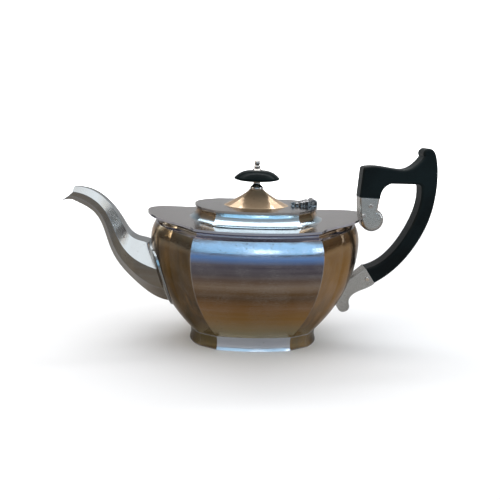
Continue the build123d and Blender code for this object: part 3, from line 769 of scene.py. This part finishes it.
@dataclass
class Body(SubAssembly):
    """Foot, base plate, panelled shell, neck, rim and the platform round the lid."""

    title: str = "body"
    # Height over which the painted reflections are spread.
    painted_reflection_height: float = 0.120
    lining: Colour = (0.26, 0.22, 0.18)

    def finishes(self) -> dict[str, Finish]:
        """Name the finish of each piece.

        Returns:
            Finishes by piece.
        """
        # Each silver finish here paints room, corner and window reflections into its colour by facing and
        # height.
        return {
            "foot_ring": self.foot(),
            "base_plate": INSIDE_SILVER,
            # Painted reflections on the shell: warm room tones low down, a blue window band on the fronts
            # and dark gold reflections on the corners.
            "body_shell": SilverFinish(
                "panel_silver", cool_share=0.55, lining=self.lining, top=self.painted_reflection_height
            ),
            "neck_cove": SilverFinish(
                "neck_silver", bright=(0.42, 0.38, 0.40), flat=(0.30, 0.27, 0.28), warm_share=0.2,
                corner_share=0.8, top=self.painted_reflection_height,
            ),
            "rim_flange": SilverFinish(
                "rim_silver", bright=(0.62, 0.58, 0.56), flat=(0.44, 0.41, 0.40), corner_share=0.2,
                warm_share=0.3, scratch=0.5, top=self.painted_reflection_height,
            ),
            "lid_surround": self.platform(),
        }

    def foot(self) -> Finish:
        """Make the foot's finish: painted pale blue-white reflections on the flats and painted warm
        reflections on the canted corners.

        Returns:
            The finish.
        """
        return SilverFinish(
            "foot_silver", metallic=0.7, bright=(0.88, 0.89, 0.95), flat=(0.72, 0.72, 0.78),
            warm_share=0.0, side_light=(0.52, 0.30, 0.09), top=self.painted_reflection_height,
            sides=((0.0, (0.24, 0.19, 0.10)), (0.1, (0.20, 0.15, 0.07))),
        )

    def platform(self) -> Finish:
        """Make the platform's finish: painted blue window reflections on the fronts and painted warm
        reflections on the canted corners.

        Returns:
            The finish.
        """
        return SilverFinish(
            "cove_silver", cool_share=0.75, warm_share=0.0, cool=(0.62, 0.84, 0.98),
            corner_share=0.85, side_light=(0.62, 0.42, 0.18), top=self.painted_reflection_height,
            sides=((0.0, (0.16, 0.13, 0.10)), (0.8, (0.16, 0.12, 0.08)), (0.88, (0.42, 0.28, 0.13))),
        )


@dataclass
class Hinge(SubAssembly):
    """Fixed bed and base, moving leaf and pin."""

    title: str = "hinge"

    def finishes(self) -> dict[str, Finish]:
        """Name the finish of each piece.

        Returns:
            Finishes by piece.
        """
        return {
            "hinge_bed": LID_SILVER,
            "hinge_base": HINGE_CASTING,
            "hinge_leaf": HINGE_CASTING,
            "hinge_pin": FIXING_STEEL,
        }


@dataclass
class Lid(SubAssembly):
    """Flat plate, the ring under it and the panelled dome."""

    title: str = "lid"
    # Height over which the painted reflections are spread.
    painted_reflection_height: float = 0.120

    def finishes(self) -> dict[str, Finish]:
        """Name the finish of each piece.

        Returns:
            Finishes by piece.
        """
        # Painted reflection: the dome's tan colour stands for the warm room it reflects, with painted
        # darker reflections on its canted panels.
        dome = SilverFinish(
            "dome_silver", metallic=0.62, bright=(0.95, 0.72, 0.48), flat=(0.74, 0.53, 0.34),
            corner_share=0.7, warm_share=0.0, side_light=(0.70, 0.50, 0.31), top=self.painted_reflection_height,
            roughness=(0.14, 0.26), sides=((0.0, (0.20, 0.14, 0.09)), (1.0, (0.16, 0.12, 0.08))),
        )
        return {"lid_plate": LID_SILVER, "lid_bezel": INSIDE_SILVER, "lid_dome": dome}


@dataclass
class Finial(SubAssembly):
    """Turned stem, black cap, bud and the rod, washer and nut that hold them."""

    title: str = "finial"
    cap_grain_depth: float = 0.00003

    def finishes(self) -> dict[str, Finish]:
        """Name the finish of each piece.

        Returns:
            Finishes by piece.
        """
        cap = BlackFinish(
            "cap_black", metallic=0.0, ior=1.10, roughness=(0.10, 0.22), depth=self.cap_grain_depth
        )
        return {
            "finial_stem": TURNED_SILVER,
            "finial_cap": cap,
            "finial_bud": TURNED_SILVER,
            "finial_stud": FIXING_STEEL,
            "finial_washer": FIXING_STEEL,
            "finial_nut": FIXING_STEEL,
        }


@dataclass
class Spout(SubAssembly):
    """Swan-neck spout and the shield at its foot."""

    title: str = "spout"
    # Height over which the painted reflections are spread.
    painted_reflection_height: float = 0.16

    def finishes(self) -> dict[str, Finish]:
        """Name the finish of each piece.

        Returns:
            Finishes by piece.
        """
        # Painted reflections on the spout: a cool blue-grey, warm room reflections by height where it
        # faces sideways or down, and gold reflections on its canted facets.
        silver = SilverFinish(
            "spout_silver", bright=(0.46, 0.52, 0.56), flat=(0.34, 0.35, 0.35), corner_share=0.55,
            tilt=0.02, warm_share=0.9, top=self.painted_reflection_height, roughness=(0.09, 0.20),
            below=((0.22, (0.26, 0.17, 0.075)), (0.42, (0.15, 0.12, 0.09)), (0.75, (0.24, 0.19, 0.14))),
            sides=((0.2, (0.13, 0.095, 0.055)), (0.6, (0.20, 0.18, 0.15))),
            side_light=(0.56, 0.47, 0.34),
        )
        return {"spout": silver, "spout_flange": silver}


@dataclass
class Handle(SubAssembly):
    """Black grip, its two sockets, the solder beads and the rivets."""

    title: str = "handle"
    # Height over which the painted reflections are spread.
    painted_reflection_height: float = 0.16

    def finishes(self) -> dict[str, Finish]:
        """Name the finish of each piece.

        Returns:
            Finishes by piece.
        """
        # Painted reflections on the sockets: warm room reflections by height where they face sideways or
        # down.
        socket = SilverFinish(
            "socket_silver", bright=(0.64, 0.64, 0.62), flat=(0.44, 0.42, 0.39), corner_share=0.1,
            warm_share=0.3, roughness=(0.20, 0.36), top=self.painted_reflection_height,
            below=((0.2, (0.36, 0.28, 0.20)), (0.7, (0.30, 0.26, 0.22))),
        )
        return {
            "handle_grip": BlackFinish("grip_black", metallic=0.0, ior=1.22),
            "upper_socket": socket,
            "lower_socket": socket,
            "solder_beads": TURNED_SILVER,
            "upper_rivet": TURNED_SILVER,
            "lower_rivet": TURNED_SILVER,
        }


@dataclass
class Floor:
    """Pale floor that curves up into a plain backdrop."""

    half_width: float = 3.0
    front: float = -2.6
    back: float = 1.4
    bend_radius: float = 0.9
    height: float = 2.4
    bend_steps: int = 16

    def profile(self) -> list[tuple[float, float]]:
        """Trace the floor from front to top.

        Returns:
            Points of y and z.
        """
        points = [(self.front, 0.0)]
        for step in range(self.bend_steps + 1):
            turn = 0.5 * math.pi * step / self.bend_steps
            y = self.back + self.bend_radius * math.sin(turn)
            points.append((y, self.bend_radius * (1.0 - math.cos(turn))))
        points.append((self.back + self.bend_radius, self.height))
        return points

    def build(self) -> bpy.types.Object:
        """Build the floor, give it its material and report it.

        Returns:
            The floor object.
        """
        mesh = bpy.data.meshes.new("studio_floor")
        form = bmesh.new()
        rows = [
            [form.verts.new((side * self.half_width, y, z)) for side in (-1.0, 1.0)]
            for y, z in self.profile()
        ]
        for first, second in zip(rows, rows[1:]):
            face = form.faces.new((first[0], first[1], second[1], second[0]))
            face.smooth = True
        form.to_mesh(mesh)
        form.free()
        floor = bpy.data.objects.new("studio_floor", mesh)
        bpy.context.scene.collection.objects.link(floor)
        mesh.materials.append(PALE_FLOOR.build())
        LOG.info("floor: %s with %d strips", floor.name, len(mesh.polygons))
        return floor


@dataclass(frozen=True)
class SoftLight:
    """Rectangular soft light that points at a spot."""

    name: str
    place: Triple
    size: Pair
    watts: float
    colour: Colour
    target: Triple = (0.0, 0.0, 0.07)

    def build(self) -> bpy.types.Object:
        """Build the light.

        Returns:
            The light object.
        """
        data = bpy.data.lights.new(self.name, "AREA")
        data.shape = "RECTANGLE"
        data.size, data.size_y = self.size
        data.energy = self.watts
        data.color = self.colour
        light = bpy.data.objects.new(self.name, data)
        light.location = self.place
        away = Vector(self.place) - Vector(self.target)
        light.rotation_euler = away.to_track_quat("Z", "Y").to_euler()
        bpy.context.scene.collection.objects.link(light)
        return light


@dataclass
class Studio:
    """World, soft lights and floor."""

    surround: Stops = (
        (0.40, (0.05, 0.04, 0.032)),
        (0.52, (0.10, 0.085, 0.075)),
        (0.62, (0.16, 0.15, 0.145)),
        (0.85, (0.42, 0.43, 0.45)),
    )
    backdrop: Colour = (1.0, 1.0, 1.0)
    lights: tuple[SoftLight, ...] = (
        SoftLight("window", (0.05, -1.35, 0.38), (1.35, 0.56), 2.2, (0.40, 0.74, 1.0)),
        SoftLight("window_pane", (0.12, -1.30, 0.25), (0.24, 0.15), 0.22, (1.0, 1.0, 1.0)),
        SoftLight("window_edge", (0.66, -1.25, 0.30), (0.10, 0.24), 0.15, (1.0, 1.0, 1.0)),
        SoftLight("overhead", (0.0, 0.10, 1.5), (2.6, 2.2), 25.0, (1.0, 0.99, 0.98)),
        SoftLight("left_side", (-1.2, -0.25, 0.55), (0.30, 0.7), 2.5, (1.0, 0.86, 0.70)),
        SoftLight("right_side", (1.25, -0.35, 0.5), (0.25, 0.7), 3.0, (0.82, 0.91, 1.0)),
        SoftLight("backdrop", (0.45, 0.9, 1.7), (3.2, 0.5), 34.0, (0.94, 0.97, 1.0), (0.3, 2.2, 0.5)),
    )

    def build(self) -> None:
        """Build the world, the lights and the floor."""
        Floor().build()
        for light in self.lights:
            LOG.info("light: %s", light.build().name)
        self.build_world()

    def build_world(self) -> None:
        """Give a soft surround, darker towards the horizon, that shows white behind the floor."""
        world = bpy.data.worlds.new("studio_world")
        world.use_nodes = True
        graph = Graph(world.node_tree)
        background = world.node_tree.nodes["Background"]
        seen = graph.node("LightPath").outputs["Is Camera Ray"]
        direction = graph.node("SeparateXYZ", Vector=graph.node("TexCoord").outputs["Generated"])
        level = graph.spread(direction.outputs["Z"], 0.5, 1.0)
        room = graph.ramp(level, self.surround)
        graph.feed(background.inputs["Color"], graph.blend(seen, room, self.backdrop))
        bpy.context.scene.world = world
        view = bpy.context.scene.view_settings
        view.view_transform = "Standard"
        view.look = "None"


@dataclass
class ViewCamera:
    """Camera that looks at a spot on the object's axis."""

    distance: float = 0.42
    target_height: float = 0.070
    azimuth: float = -2.022
    elevation: float = 13.104
    roll: float = 1.643
    lens: float = 38.41
    sensor_width: float = 36.0
    shift: Pair = (-0.0096, 0.0031)

    def build(self) -> bpy.types.Object:
        """Build the camera and make it the scene's own.

        Returns:
            The camera object.
        """
        azimuth, elevation = math.radians(self.azimuth), math.radians(self.elevation)
        away = Vector((
            math.sin(azimuth) * math.cos(elevation),
            -math.cos(azimuth) * math.cos(elevation),
            math.sin(elevation),
        ))
        data = bpy.data.cameras.new("view_camera")
        data.lens = self.lens
        data.sensor_width = self.sensor_width
        data.shift_x, data.shift_y = self.shift
        camera = bpy.data.objects.new("view_camera", data)
        turn = away.to_track_quat("Z", "Y").to_matrix()
        turn = turn @ Matrix.Rotation(math.radians(self.roll), 3, "Z")
        place = Vector((0.0, 0.0, self.target_height)) + away * self.distance
        camera.matrix_world = Matrix.Translation(place) @ turn.to_4x4()
        bpy.context.scene.collection.objects.link(camera)
        bpy.context.scene.camera = camera
        LOG.info("camera at %.3f %.3f %.3f", *place)
        return camera


def main() -> None:
    """Load the model, dress it, build the studio and report every piece."""
    logging.basicConfig(level=logging.INFO, format="%(name)s %(message)s")
    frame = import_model()
    EffectLibrary().build()
    made: Materials = {}
    for assembly in (Body(), Hinge(), Lid(), Finial(), Spout(), Handle()):
        assembly.dress(frame["nodes"], made)
    Studio().build()
    ViewCamera().build()


if __name__ == "__main__":
    main()
